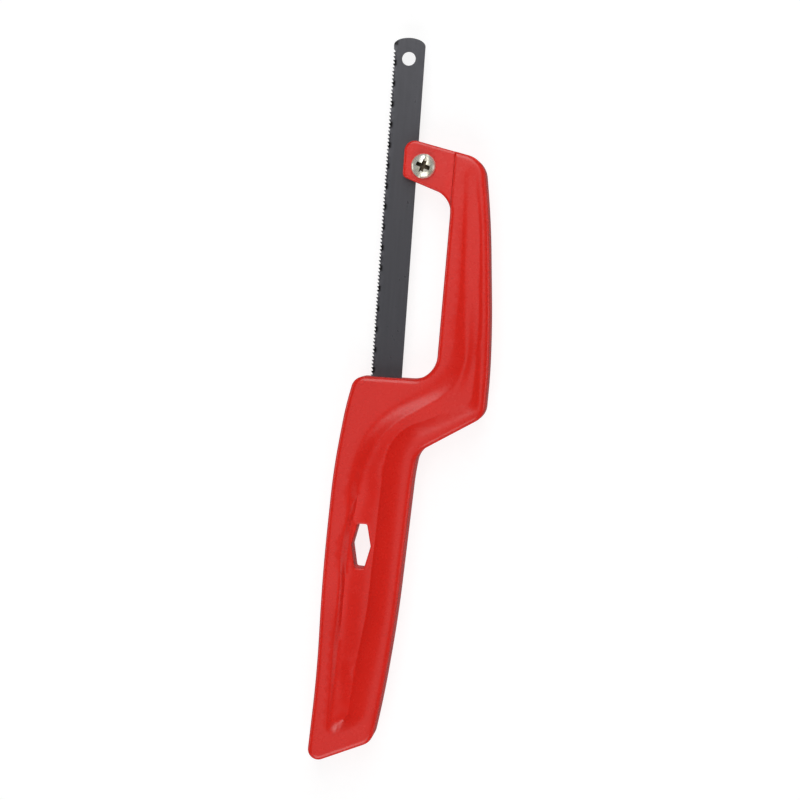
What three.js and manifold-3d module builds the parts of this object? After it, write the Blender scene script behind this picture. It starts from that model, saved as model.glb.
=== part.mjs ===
// Mini hacksaw: a one-handed plastic frame in two moulded halves, holding a short hacksaw blade.
//
// The blade's tail sits in a thin socket in the head of the grip. Farther along, the blade passes
// between the two cheeks of a pad at the end of the frame's arm, and a screw just behind the
// blade's back pulls the cheeks together against a hexagon nut that its pocket keeps from turning.
// Three self-tapping screws, driven in from the back, hold the two halves together.
//
// Frame: +Y runs along the blade to its tip, +X from the teeth to the arm, +Z through the
// thickness, with the saw lying on its back half. The pieces are drawn about a working origin:
// the blade's centreline, at the head of the grip, on the joint between the two halves. The
// finished group is then moved so that the middle of its underside is the origin. Millimetres.

import * as THREE from "three";
import { mergeVertices, toCreasedNormals } from "three/addons/utils/BufferGeometryUtils.js";
import Module from "manifold-3d";

const wasm = await Module();
wasm.setup();

const degrees = THREE.MathUtils.degToRad;

// ---------------------------------------------------------------- driving dimensions

const HALF_THICKNESS = 8; // each frame half, from the joint to its flat face
const PAD_HALF_THICKNESS = 5.2; // the clamping pad is thinner than the arm
const JOINT_GAP = 0.05; // each half stops this far short of the joint
const EDGE_RADIUS = 1.6; // rounding of the frame's outside edges

const BLADE_WIDTH = 12;
const BLADE_THICKNESS = 0.64;
const PIN_HOLE_Y = 121.1; // centre of the hole near the blade's tip
const PIN_HOLE_SPACING = 150; // the blade's nominal length, from hole to hole
const PIN_HOLE_RADIUS = 2.6;
const BLADE_END_MARGIN = 7.9; // from a hole's centre to the blade's end
const BLADE_TIP_Y = PIN_HOLE_Y + BLADE_END_MARGIN;
const BLADE_TAIL_Y = PIN_HOLE_Y - PIN_HOLE_SPACING - BLADE_END_MARGIN;
const TOOTH_PITCH = 25.4 / 18; // 18 teeth to the inch
const TOOTH_DEPTH = 0.75;
const TOOTHLESS_END = 3.4; // plain edge at each end of the blade

const SLOT_HALF_DEPTH = 0.48; // the room cut into each half for the blade's thickness
const SOCKET_CLEARANCE = 0.3; // beside the blade's edges and past its tail
const PAD_SLOT_BACK = 16.5; // the gap between the pad's cheeks ends at this X

const SCREW_RADIUS = 2.38; // 3/16 inch
const SCREW_LENGTH = 12; // under the head
const SCREW_HOLE_RADIUS = 2.6;
const SCREW_BEHIND_BLADE = 0.6; // gap between the blade's back and the shank
const SCREW_X = BLADE_WIDTH / 2 + SCREW_BEHIND_BLADE + SCREW_RADIUS;
const SCREW_Y = 80.7;
const HEAD_RADIUS = 4.65;
const HEAD_HEIGHT = 3;
const HEAD_GAP = 0.05; // under a head or a nut
const DRIVE_TURN = degrees(-18); // how far the slot leans from the blade's line

const NUT_ACROSS_FLATS = 8;
const NUT_THICKNESS = 3.8;
const NUT_BORE_RADIUS = 2.46;
const NUT_POCKET_DEPTH = 3.3;
const NUT_POCKET_CLEARANCE = 0.15; // at each flat

const CASE_SCREW_RADIUS = 1.3;
const CASE_SCREW_LENGTH = 8; // under the head
const CASE_HEAD_RADIUS = 2.5;
const CASE_HEAD_HEIGHT = 1.7;
const CASE_SEAT_DEPTH = 3.6; // from the joint to the face under the head, in the back half
const CASE_SCREWS = [
  { name: "case_screw_arm", x: 27.6, y: 74 },
  { name: "case_screw_elbow", x: -9.8, y: -10.8 },
  { name: "case_screw_butt", x: -14.8, y: -143 },
];

const PEG_RADIUS = 1.5;
const PEG_REACH = 1.25; // past the joint
const PEG_CLEARANCE = 0.15;
const PEGS = [
  [28.5, -5],
  [1.5, -88],
];

const ABOVE = HALF_THICKNESS + 5; // cutters that come out through the flat face stop here
const BELOW = -1; // and those that open to the joint start here

// Outlines are lists of corners, [x, y, radius], joined by straight lines, and run clockwise.
// A gentle curve is a corner with a long radius.

const FRAME_OUTLINE = [
  [-11.5, -0.3, 5], // head of the grip, under the teeth
  [19.4, 0.1, 9.5], // throat
  [20.5, 69.7, 9], // where the pad meets the arm
  [1.2, 76.3, 2.2], // pad
  [1.2, 91.1, 4],
  [31.9, 84.6, 9], // end of the arm
  [35.4, 61.7, 360], // arm's back
  [38.6, 24, 415],
  [39.4, 4.8, 245],
  [39, -12.1, 7], // elbow
  [14.7, -27.4, 8], // where the web of the thumb sits
  [13.5, -36.9, 100], // grip's back
  [10.8, -92, 500],
  [7.5, -123.9, 400],
  [4.9, -139.7, 6], // butt
  [-19.6, -150.6, 4],
  [-17.9, -114.9, 480], // grip's front
  [-18.4, -76.4, 750],
  [-17, -36.1, 260],
  [-14.1, -12.4, 125],
];
const PAD_AREA = [
  [-5, 60, 0],
  [-5, 100, 0],
  [20.7, 100, 0],
  [20.7, 60, 0],
];

// The long hollow in each face drops steeply from the front band and climbs slowly to the back
// rim. These are its edge on the flat face and, with matching corners, its edge on the floor,
// where a corner's fourth value is its height. The floor is deepest along its back edge.
const HOLLOW_RIM = [
  [26.9, 38.1, 300],
  [25, 82.7, 2.6],
  [30.4, 81.4, 2.8],
  [32.6, 60.8, 300],
  [35.3, 24.2, 300],
  [36, -9.5, 4],
  [11.4, -25, 12],
  [10.2, -35.7, 100],
  [7.4, -90, 500],
  [4.1, -121.3, 300],
  [2.5, -132.7, 6],
  [-12.3, -139.5, 2.5],
  [-10.6, -66, 400],
  [-7.3, -19.1, 38],
  [25.7, 4.7, 22],
];
const HOLLOW_FLOOR = [
  [27.4, 38.1, 300, 6.8],
  [25.7, 81.2, 1.4, 6.8],
  [29.5, 80.3, 1.6, 6.7],
  [31.6, 60.9, 300, 6.6],
  [34.1, 24.2, 300, 6.4],
  [33.8, -7.6, 4, 5.6],
  [9, -22.6, 14, 4.8],
  [6.6, -36.1, 100, 4.3],
  [2.4, -90.8, 500, 4.2],
  [-0.5, -122.3, 100, 4.4],
  [-1.7, -129.7, 5, 4.8],
  [-11.9, -134.3, 2, 5.6],
  [-10.3, -66.6, 400, 5.9],
  [-6.8, -19.7, 38, 6.2],
  [26, 3.9, 22, 6.6],
];

const HANG_HOLE = [
  [-6.4, -56.6, 0.8],
  [-2.8, -56.6, 0.8],
  [-0.9, -65, 1.2],
  [-2.9, -73.7, 1],
  [-6.4, -73.7, 1],
  [-8.2, -65, 1.2],
];

// Pockets that thin the thickest stretches of each half, open to the joint.
const BAND_POCKET = [
  [-13.4, -24, 1],
  [-10.6, -24, 1],
  [-13.2, -66, 60],
  [-14.2, -133, 1],
  [-16.2, -133, 1],
  [-16, -66, 60],
];
const BAND_POCKET_TOP = 5.8;
const ARM_POCKET = [
  [22.5, 20, 1],
  [22.5, 69, 1],
  [32.2, 69, 1],
  [35.2, 38, 100],
  [36.5, 20, 1],
];
const ARM_POCKET_TOP = 4.2;

// ---------------------------------------------------------------- outlines

const ARC_STEP = degrees(15);

// The arc that rounds each corner of a clockwise loop.
function cornerArcs(corners) {
  const n = corners.length;
  return corners.map(([x, y, radius], i) => {
    const corner = new THREE.Vector2(x, y);
    const back = new THREE.Vector2(...corners[(i + n - 1) % n]).sub(corner).normalize();
    const onward = new THREE.Vector2(...corners[(i + 1) % n]).sub(corner).normalize();
    const turn = Math.PI - Math.acos(back.dot(onward));
    const side = Math.sign(back.cross(onward)); // +1 where the loop turns right
    const toCentre = back.clone().add(onward).normalize();
    const centre = toCentre.multiplyScalar(radius / Math.cos(turn / 2)).add(corner);
    const start = back.angle() - (side * Math.PI) / 2;
    return { centre, radius, side, start, turn };
  });
}

// How many steps each corner's arc is drawn in.
function arcSteps(corners) {
  return cornerArcs(corners).map(({ radius, turn }) =>
    radius ? Math.max(1, Math.ceil(turn / ARC_STEP)) : 0,
  );
}

// Points round the loop, moved inwards by inset. The number of points on each corner comes from
// another loop's corners where two loops have to match.
function roundedLoop(corners, inset = 0, matching = corners) {
  const steps = arcSteps(matching);
  return cornerArcs(corners).flatMap(({ centre, radius, side, start, turn }, i) =>
    Array.from({ length: steps[i] + 1 }, (_, k) => {
      const angle = start - side * turn * (steps[i] ? k / steps[i] : 0);
      const spoke = new THREE.Vector2(Math.cos(angle), Math.sin(angle));
      return spoke.multiplyScalar(radius - side * inset).add(centre);
    }),
  );
}

// The heights of the loop's points, from its corners' fourth values.
function loopHeights(corners, matching) {
  const steps = arcSteps(matching);
  return corners.flatMap((corner, i) => Array(steps[i] + 1).fill(corner[3]));
}

// ---------------------------------------------------------------- solids

// A geometry as a manifold-3d solid.
function solid(geometry) {
  const bare = geometry.clone();
  bare.deleteAttribute("normal");
  bare.deleteAttribute("uv");
  const merged = mergeVertices(bare, 1e-4);
  return new wasm.Manifold(
    new wasm.Mesh({
      numProp: 3,
      vertProperties: new Float32Array(merged.attributes.position.array),
      triVerts: new Uint32Array(merged.index.array),
    }),
  );
}

// A closed skin over a stack of levels, each a loop with the same number of points and its
// height, which is one number or a list with a height for each point.
function skin(levels) {
  const count = levels[0].loop.length;
  const last = levels.length - 1;
  const at = (level, i) => level * count + (i % count);
  const positions = levels.flatMap(({ loop, z }) =>
    loop.flatMap((p, i) => [p.x, p.y, Array.isArray(z) ? z[i] : z]),
  );
  const index = [];
  for (let level = 0; level < last; level++)
    for (let i = 0; i < count; i++) {
      index.push(at(level, i), at(level + 1, i), at(level + 1, i + 1));
      index.push(at(level, i), at(level + 1, i + 1), at(level, i + 1));
    }
  for (const [level, up] of [[0, false], [last, true]]) {
    const { loop } = levels[level];
    for (const [a, b, c] of THREE.ShapeUtils.triangulateShape(loop, [])) {
      const facesUp = !THREE.ShapeUtils.isClockWise([loop[a], loop[b], loop[c]]);
      index.push(...(facesUp === up ? [a, b, c] : [a, c, b]).map((i) => at(level, i)));
    }
  }
  const geometry = new THREE.BufferGeometry();
  geometry.setAttribute("position", new THREE.Float32BufferAttribute(positions, 3));
  geometry.setIndex(index);
  return solid(geometry);
}

function prism(corners, low, high) {
  const loop = roundedLoop(corners);
  return skin([{ loop, z: low }, { loop, z: high }]);
}

// A block given by the two corners [x, y, z] that face each other.
function block([x0, y0, z0], [x1, y1, z1]) {
  const geometry = new THREE.BoxGeometry(x1 - x0, y1 - y0, z1 - z0);
  return solid(geometry.translate((x0 + x1) / 2, (y0 + y1) / 2, (z0 + z1) / 2));
}

function cylinder(radius, low, high, x = 0, y = 0, sides = 32) {
  const geometry = new THREE.CylinderGeometry(radius, radius, high - low, sides);
  return solid(geometry.rotateX(Math.PI / 2).translate(x, y, (low + high) / 2));
}

function hexagon(acrossFlats, low, high, x = 0, y = 0) {
  return cylinder(acrossFlats / 2 / Math.cos(Math.PI / 6), low, high, x, y, 6);
}

// A solid turned about Z, from its profile [radius, z], from the bottom up.
function turned(profile) {
  const points = profile.map(([radius, z]) => new THREE.Vector2(radius, z));
  return solid(new THREE.LatheGeometry(points, 40).rotateX(Math.PI / 2));
}

// A bar across the axis, for cutting slots.
function bar(length, width, low, high, turn) {
  const geometry = new THREE.BoxGeometry(length, width, high - low);
  return solid(geometry.rotateZ(turn).translate(0, 0, (low + high) / 2));
}

function mesh(name, manifold, material, x = 0, y = 0, z = 0) {
  const { vertProperties, triVerts } = manifold.getMesh();
  const geometry = new THREE.BufferGeometry();
  geometry.setAttribute("position", new THREE.BufferAttribute(vertProperties, 3));
  geometry.setIndex(new THREE.BufferAttribute(triVerts, 1));
  const made = new THREE.Mesh(toCreasedNormals(geometry, degrees(35)), material);
  made.name = name;
  made.position.set(x, y, z);
  return made;
}

// ---------------------------------------------------------------- frame halves

// Both halves are drawn as the front one, above the joint, and the back one is then mirrored.

function roundedSlab() {
  const edge = [0, 45, 90].map((angle) => ({
    loop: roundedLoop(FRAME_OUTLINE, EDGE_RADIUS * (1 - Math.cos(degrees(angle)))),
    z: HALF_THICKNESS - EDGE_RADIUS * (1 - Math.sin(degrees(angle))),
  }));
  return skin([{ loop: roundedLoop(FRAME_OUTLINE), z: JOINT_GAP }, ...edge]);
}

function faceHollow() {
  const rim = roundedLoop(HOLLOW_RIM);
  const floor = roundedLoop(HOLLOW_FLOOR, 0, HOLLOW_RIM);
  return skin([
    { loop: floor, z: loopHeights(HOLLOW_FLOOR, HOLLOW_RIM) },
    { loop: rim, z: HALF_THICKNESS },
    { loop: rim, z: ABOVE },
  ]);
}

// The socket for the blade's tail, and the gap between the pad's cheeks.
function bladeRoom() {
  const side = BLADE_WIDTH / 2 + SOCKET_CLEARANCE;
  const socketEnd = BLADE_TAIL_Y - SOCKET_CLEARANCE;
  const [padFront, padBottom] = PAD_AREA[0];
  const padTop = PAD_AREA[1][1];
  return block([-side, socketEnd, BELOW], [side, 10, SLOT_HALF_DEPTH]).add(
    block([padFront, padBottom, BELOW], [PAD_SLOT_BACK, padTop, SLOT_HALF_DEPTH]),
  );
}

function sharedHalf() {
  return [
    prism(PAD_AREA, PAD_HALF_THICKNESS, ABOVE),
    faceHollow(),
    prism(HANG_HOLE, BELOW, ABOVE),
    prism(BAND_POCKET, BELOW, BAND_POCKET_TOP),
    prism(ARM_POCKET, BELOW, ARM_POCKET_TOP),
    bladeRoom(),
    cylinder(SCREW_HOLE_RADIUS, BELOW, ABOVE, SCREW_X, SCREW_Y),
  ].reduce((half, cut) => half.subtract(cut), roundedSlab());
}

// The front half has blind holes for the case screws' points and for the pegs.
function frontHalf() {
  let half = sharedHalf();
  const screwDepth = CASE_SCREW_LENGTH - CASE_SEAT_DEPTH + 0.3;
  for (const { x, y } of CASE_SCREWS)
    half = half.subtract(cylinder(CASE_SCREW_RADIUS + 0.15, BELOW, screwDepth, x, y, 20));
  for (const [x, y] of PEGS) {
    const hole = cylinder(PEG_RADIUS + PEG_CLEARANCE, BELOW, PEG_REACH + 2 * PEG_CLEARANCE, x, y, 16);
    half = half.subtract(hole);
  }
  return half;
}

// The back half has the nut's pocket, counterbored holes for the case screws, and the pegs.
function backHalf() {
  const pocketWidth = NUT_ACROSS_FLATS + 2 * NUT_POCKET_CLEARANCE;
  const pocketFloor = PAD_HALF_THICKNESS - NUT_POCKET_DEPTH;
  let half = sharedHalf().subtract(hexagon(pocketWidth, pocketFloor, ABOVE, SCREW_X, SCREW_Y));
  for (const { x, y } of CASE_SCREWS) {
    half = half.subtract(cylinder(CASE_SCREW_RADIUS + 0.3, BELOW, ABOVE, x, y, 20));
    half = half.subtract(cylinder(CASE_HEAD_RADIUS + 0.3, CASE_SEAT_DEPTH, ABOVE, x, y));
  }
  for (const [x, y] of PEGS) half = half.add(cylinder(PEG_RADIUS, -PEG_REACH, 2, x, y, 16));
  return half;
}

// ---------------------------------------------------------------- blade

// Teeth lean towards the tip, so the saw cuts on the push.
function bladeOutline() {
  const side = BLADE_WIDTH / 2;
  const shoulder = 3; // where the round ends start
  const shape = new THREE.Shape();
  shape.moveTo(-side, BLADE_TAIL_Y + shoulder);
  shape.quadraticCurveTo(-side + 1, BLADE_TAIL_Y, 0, BLADE_TAIL_Y);
  shape.quadraticCurveTo(side - 1, BLADE_TAIL_Y, side, BLADE_TAIL_Y + shoulder);
  shape.lineTo(side, BLADE_TIP_Y - shoulder);
  shape.quadraticCurveTo(side - 1, BLADE_TIP_Y, 0, BLADE_TIP_Y);
  shape.quadraticCurveTo(-side + 1, BLADE_TIP_Y, -side, BLADE_TIP_Y - shoulder);
  const last = BLADE_TAIL_Y + TOOTHLESS_END;
  for (let y = BLADE_TIP_Y - TOOTHLESS_END; y - TOOTH_PITCH > last; y -= TOOTH_PITCH) {
    shape.lineTo(-side, y);
    shape.lineTo(-side + TOOTH_DEPTH, y - TOOTH_PITCH);
  }
  shape.closePath();
  for (const y of [PIN_HOLE_Y, PIN_HOLE_Y - PIN_HOLE_SPACING])
    shape.holes.push(new THREE.Path().absarc(0, y, PIN_HOLE_RADIUS, 0, 2 * Math.PI, true));
  return shape;
}

function blade() {
  const settings = { depth: BLADE_THICKNESS, bevelEnabled: false, curveSegments: 8 };
  const geometry = new THREE.ExtrudeGeometry(bladeOutline(), settings);
  return solid(geometry.translate(0, 0, -BLADE_THICKNESS / 2));
}

// ---------------------------------------------------------------- screws and nut

// Pan head with a slot and a cross recess. The shank is plain, without its thread, and the face
// under the head is at zero height.
function clampScrew() {
  const top = HEAD_HEIGHT;
  const screw = turned([
    [0, -SCREW_LENGTH],
    [SCREW_RADIUS - 0.5, -SCREW_LENGTH],
    [SCREW_RADIUS, 0.5 - SCREW_LENGTH],
    [SCREW_RADIUS, 0],
    [HEAD_RADIUS, 0],
    [HEAD_RADIUS, 1.2],
    [HEAD_RADIUS - 0.25, 1.9],
    [HEAD_RADIUS - 1, top - 0.45],
    [HEAD_RADIUS - 2.2, top - 0.1],
    [0, top],
  ]);
  return screw
    .subtract(bar(1.4, 12, top - 1.1, top + 1, DRIVE_TURN))
    .subtract(bar(4.9, 1.25, top - 2, top + 1, DRIVE_TURN))
    .subtract(bar(1.25, 4.9, top - 2, top + 1, DRIVE_TURN));
}

// Hexagon nut, chamfered at both faces.
function clampNut() {
  const corner = NUT_ACROSS_FLATS / 2 / Math.cos(Math.PI / 6) + 0.1;
  const flat = NUT_ACROSS_FLATS / 2 - 0.1;
  const chamfers = turned([
    [0, 0],
    [flat, 0],
    [corner, 0.5],
    [corner, NUT_THICKNESS - 0.5],
    [flat, NUT_THICKNESS],
    [0, NUT_THICKNESS],
  ]);
  return hexagon(NUT_ACROSS_FLATS, -1, NUT_THICKNESS + 1)
    .intersect(chamfers)
    .subtract(cylinder(NUT_BORE_RADIUS, -1, NUT_THICKNESS + 1));
}

// Self-tapping screw with a pan head and a cross recess, plain like the clamp's screw.
function caseScrew() {
  const top = CASE_HEAD_HEIGHT;
  const screw = turned([
    [0, -CASE_SCREW_LENGTH],
    [0.5, -CASE_SCREW_LENGTH],
    [CASE_SCREW_RADIUS, 1.4 - CASE_SCREW_LENGTH],
    [CASE_SCREW_RADIUS, 0],
    [CASE_HEAD_RADIUS, 0],
    [CASE_HEAD_RADIUS, 0.6],
    [CASE_HEAD_RADIUS - 0.6, top - 0.25],
    [0, top],
  ]);
  return screw
    .subtract(bar(2.6, 0.65, top - 1.1, top + 1, 0))
    .subtract(bar(0.65, 2.6, top - 1.1, top + 1, 0));
}

// ---------------------------------------------------------------- assembly

const plastic = new THREE.MeshStandardMaterial({ color: "#cf2a24", roughness: 0.3, metalness: 0 });
const blackSteel = new THREE.MeshStandardMaterial({ color: "#47474d", roughness: 0.5, metalness: 0.5 });
const zincSteel = new THREE.MeshStandardMaterial({ color: "#d8d6c4", roughness: 0.3, metalness: 1 });

const saw = new THREE.Group();
saw.add(mesh("frame_front_half", frontHalf(), plastic));
saw.add(mesh("saw_blade", blade(), blackSteel));

const back = mesh("frame_back_half", backHalf(), plastic);
back.scale.z = -1;
saw.add(back);

const headSeat = PAD_HALF_THICKNESS + HEAD_GAP;
const nutSeat = PAD_HALF_THICKNESS - NUT_POCKET_DEPTH + HEAD_GAP;
saw.add(mesh("clamp_screw", clampScrew(), zincSteel, SCREW_X, SCREW_Y, headSeat));
saw.add(mesh("clamp_nut", clampNut(), zincSteel, SCREW_X, SCREW_Y, -nutSeat - NUT_THICKNESS));

for (const { name, x, y } of CASE_SCREWS) {
  const screw = mesh(name, caseScrew(), zincSteel, x, y, -CASE_SEAT_DEPTH - HEAD_GAP);
  screw.rotation.x = Math.PI; // its head is at the back
  saw.add(screw);
}

const extent = new THREE.Box3().setFromObject(saw);
const middle = extent.getCenter(new THREE.Vector3());
saw.position.set(-middle.x, -middle.y, -extent.min.z);

const hacksaw = new THREE.Group();
hacksaw.add(saw);
export default hacksaw;
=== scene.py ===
"""Mini hacksaw: the detailed pieces, their materials, the floor, lights and camera, built
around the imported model.

Pieces are modelled in millimetres in the saw's own frame: X from the teeth towards the arm,
Y along the blade towards its tip, with 0 at the head of the grip, and Z = 0 at the joint
between the frame's two halves.
"""

import math

import bmesh
import bpy
import numpy as np
from mathutils import Matrix, Vector
from mathutils.geometry import delaunay_2d_cdt


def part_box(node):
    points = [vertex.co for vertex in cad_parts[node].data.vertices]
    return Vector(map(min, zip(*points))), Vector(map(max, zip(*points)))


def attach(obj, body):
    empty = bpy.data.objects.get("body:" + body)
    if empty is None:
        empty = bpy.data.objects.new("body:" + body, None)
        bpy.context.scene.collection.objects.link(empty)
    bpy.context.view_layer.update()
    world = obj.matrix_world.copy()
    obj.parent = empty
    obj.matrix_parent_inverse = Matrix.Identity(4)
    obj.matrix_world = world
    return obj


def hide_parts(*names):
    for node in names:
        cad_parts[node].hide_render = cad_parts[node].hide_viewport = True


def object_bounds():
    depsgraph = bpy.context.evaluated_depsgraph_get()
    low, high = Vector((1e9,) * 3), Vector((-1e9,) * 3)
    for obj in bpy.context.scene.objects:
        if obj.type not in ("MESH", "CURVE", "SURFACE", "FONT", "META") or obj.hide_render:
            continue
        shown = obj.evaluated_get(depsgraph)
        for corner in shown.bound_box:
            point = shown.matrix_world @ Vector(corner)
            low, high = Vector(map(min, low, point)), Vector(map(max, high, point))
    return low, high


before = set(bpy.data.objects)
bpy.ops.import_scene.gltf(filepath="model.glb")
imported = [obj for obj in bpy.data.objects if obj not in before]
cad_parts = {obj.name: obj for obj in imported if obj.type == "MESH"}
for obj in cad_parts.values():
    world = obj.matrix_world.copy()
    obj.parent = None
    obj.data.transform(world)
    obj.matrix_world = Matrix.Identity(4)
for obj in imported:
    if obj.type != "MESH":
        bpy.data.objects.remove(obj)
cad_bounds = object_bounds()

MM = 0.001
BLADE_TIP_Y = 129  # from the head of the grip to the blade's tip
blade_low, blade_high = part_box("saw_blade")
ORIGIN = Vector((
    (blade_low.x + blade_high.x) / 2,
    blade_high.y - BLADE_TIP_Y * MM,
    (blade_low.z + blade_high.z) / 2,
))

# ---------------------------------------------------------------- frame sizes
HALF_THICKNESS = 8.0
PAD_HALF_THICKNESS = 5.2
HALF_GAP = 0.03  # each half stops this far short of the joint
EDGE_RADIUS = 1.8  # rounding of the outside edges of the grip and arm
PAD_EDGE_RADIUS = 1.0
PAD_STEP_RADIUS = 0.8  # rounding along the top of the step down to the pad
SEAM_CHAMFER = 0.22  # along the joint on the outside
LIP_RADIUS = 0.5  # round the hang hole
PAD_STEP_LINE = ((19.4, 0.1), (20.5, 69.7))  # the arm's throat edge, which the step carries on
EARLY_CLIMB = 0.45  # how early the hollow's wide sides climb
STRAIGHTNESS = 0.55  # of the hollow's narrow sides, between a soft S and a straight slope
LOOP_SPACING = 0.5  # between points along a loop
ARC_STEP = math.radians(7.5)

# Corners are (x, y, rounding), clockwise.
FRAME_OUTLINE = [
    (-11.5, -0.3, 5),
    (19.4, 0.1, 9.5),
    (20.5, 69.7, 9),
    (1.2, 76.3, 2.2),
    (1.2, 91.1, 4),
    (31.9, 84.6, 9),
    (35.4, 61.7, 360),
    (38.6, 24, 415),
    (39.4, 4.8, 245),
    (39, -12.1, 7),
    (14.7, -27.4, 8),
    (13.5, -36.9, 100),
    (10.8, -92, 500),
    (7.5, -123.9, 400),
    (4.9, -139.7, 6),
    (-19.6, -150.6, 4),
    (-17.9, -114.9, 480),
    (-18.4, -76.4, 750),
    (-17, -36.1, 260),
    (-14.1, -12.4, 125),
]
HOLLOW_RIM = [
    (26.2, 38.1, 300),
    (24.6, 82.6, 2.6),
    (30.2, 81.2, 2.6),
    (33, 60.8, 300),
    (35.8, 24.2, 300),
    (36.8, -10, 4),
    (12.2, -25.2, 12),
    (10.8, -35.7, 100),
    (8.9, -88, 300),
    (5.8, -117, 200),
    (3, -132, 8),
    (-12.9, -139.9, 3),
    (-12.1, -66, 400),
    (-8.8, -18.8, 38),
    (24.9, 5.2, 22),
]
# The matching corners on the hollow's floor, with the floor's height there as a fourth value.
HOLLOW_FLOOR = [
    (27.8, 38.1, 300, 7.4),
    (26.6, 78, 0.9, 7.85),
    (28.9, 77.5, 0.9, 7.9),
    (31.9, 60.9, 200, 7.75),
    (34.4, 24.2, 300, 7.5),
    (33.8, -7, 5, 7.1),
    (3.8, -20.9, 18, 5.6),
    (1.7, -36.1, 50, 5.2),
    (-0.6, -90, 120, 4.7),
    (-3.6, -112, 60, 5.0),
    (-5, -131, 4, 5.6),
    (-10.7, -134.9, 1.9, 6.9),
    (-9.4, -66.6, 400, 5.6),
    (-4.2, -22.3, 38, 5.9),
    (31, -0.4, 22, 6.7),
]
HANG_HOLE = [
    (-6.4, -56.6, 0.8),
    (-2.8, -56.6, 0.8),
    (-0.9, -65, 1.2),
    (-2.9, -73.7, 1),
    (-6.4, -73.7, 1),
    (-8.2, -65, 1.2),
]

# ---------------------------------------------------------------- blade and fastener sizes
BLADE_WIDTH = 12.0
BLADE_THICKNESS = 0.64
BLADE_TAIL_Y = -36.8
HOLE_FROM_END = 7.9
BLADE_HOLE_RADIUS = 2.6
TOOTH_PITCH = 25.4 / 18
TOOTH_DEPTH = 0.75
TOOTHLESS_END = 3.4
SET_WAVE = 7.8  # length of one wave of the teeth's set
SET_REACH = 0.4  # how far the teeth lean out to each side
SET_DEPTH = 1.4  # of the strip along the teeth that leans
SLOT_HALF_DEPTH = 0.48  # room in each half for the blade
SET_SLOT_HALF_DEPTH = 0.8  # and for its teeth
SET_SLOT_WIDTH = 2.5  # of the deeper strip, inwards from the teeth's points
SLOT_OVERLAP = 0.5  # of the deeper strip with the rest of the slot
SOCKET_CLEARANCE = 0.3

SCREW_X = 8.98
SCREW_Y = 80.7
SCREW_RADIUS = 2.38
SCREW_HOLE_RADIUS = 2.6
SCREW_LENGTH = 12.0
THREAD_PITCH = 25.4 / 24
HEAD_RADIUS = 4.65
HEAD_HEIGHT = 3.0
HEAD_GAP = 0.05
DRIVE_TURN = math.radians(-18)
DRIVE_SLOT_WIDTH = 1.15
DRIVE_SLOT_DEPTH = 2.3
DRIVE_CROSS = (5.6, 1.6, 2.6)  # length, width and depth of each bar of the cross
NUT_ACROSS_FLATS = 8.0
NUT_THICKNESS = 3.8
NUT_BORE_RADIUS = 2.46
NUT_POCKET_DEPTH = 3.3
NUT_POCKET_CLEARANCE = 0.15

CASE_SCREWS = {
    "case_screw_arm": (27.6, 74.0),
    "case_screw_elbow": (-9.8, -10.8),
    "case_screw_butt": (-14.8, -143.0),
}
CASE_SCREW_RADIUS = 1.3
CASE_SCREW_LENGTH = 8.0
CASE_SCREW_PITCH = 1.0
CASE_HEAD_RADIUS = 2.5
CASE_HEAD_HEIGHT = 1.7
CASE_SEAT_DEPTH = 3.6
CASE_CROSS = (3.0, 0.75, 1.3)
CASE_CROSS_TURN = math.radians(20)


# ---------------------------------------------------------------- loops
def corner_arcs(corners, inset=0.0):
    """Each corner's arc as (centre, spoke to its start, turn, radius), moved inwards by inset."""
    arcs = []
    for i, corner in enumerate(corners):
        here = Vector(corner[:2])
        arriving = (here - Vector(corners[i - 1][:2])).normalized()
        leaving = (Vector(corners[(i + 1) % len(corners)][:2]) - here).normalized()
        turn = math.atan2(arriving.cross(leaving), arriving.dot(leaving))
        bisector = (leaving - arriving).normalized()
        centre = here + bisector * (corner[2] / math.cos(turn / 2))
        side = math.copysign(1, turn)
        spoke = Vector((arriving.y, -arriving.x)) * side
        arcs.append((centre, spoke, turn, corner[2] + inset * side))
    return arcs


def stations(corners, spacing=LOOP_SPACING):
    """How many steps each corner's arc and the straight line after it are drawn in."""
    arcs = corner_arcs(corners)
    steps = []
    for i, (centre, spoke, turn, radius) in enumerate(arcs):
        next_centre, next_spoke, _, next_radius = arcs[(i + 1) % len(arcs)]
        end = centre + turned(spoke, turn) * radius
        start = next_centre + next_spoke * next_radius
        arc_steps = math.ceil(max(abs(turn) / ARC_STEP, abs(turn) * radius / spacing))
        steps.append((arc_steps, math.ceil((start - end).length / spacing)))
    return steps


def turned(spoke, angle):
    return Matrix.Rotation(angle, 2) @ spoke


def rounded(corners, inset=0.0, steps=None):
    """Points round the loop, as an array with a row for each."""
    arcs = corner_arcs(corners, inset)
    steps = steps or stations(corners)
    points = []
    for i, (centre, spoke, turn, radius) in enumerate(arcs):
        arc_steps, line_steps = steps[i]
        for k in range(arc_steps + 1):
            points.append(centre + turned(spoke, turn * k / arc_steps) * radius)
        next_centre, next_spoke, _, next_radius = arcs[(i + 1) % len(arcs)]
        start = next_centre + next_spoke * next_radius
        end = points[-1]
        for k in range(1, line_steps):
            points.append(end.lerp(start, k / line_steps))
    return np.array([(p.x, p.y) for p in points])


def loop_heights(corners, steps, window=25):
    """The fourth values of the corners, along the loop's points, evened out between corners."""
    values = []
    for i, (arc_steps, line_steps) in enumerate(steps):
        here, onward = corners[i][3], corners[(i + 1) % len(corners)][3]
        values += [here] * (arc_steps + 1)
        values += [here + (onward - here) * k / line_steps for k in range(1, line_steps)]
    padded = np.concatenate([values[-window:], values, values[:window]])
    kernel = np.ones(2 * window + 1) / (2 * window + 1)
    return np.convolve(padded, kernel, "valid")


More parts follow.
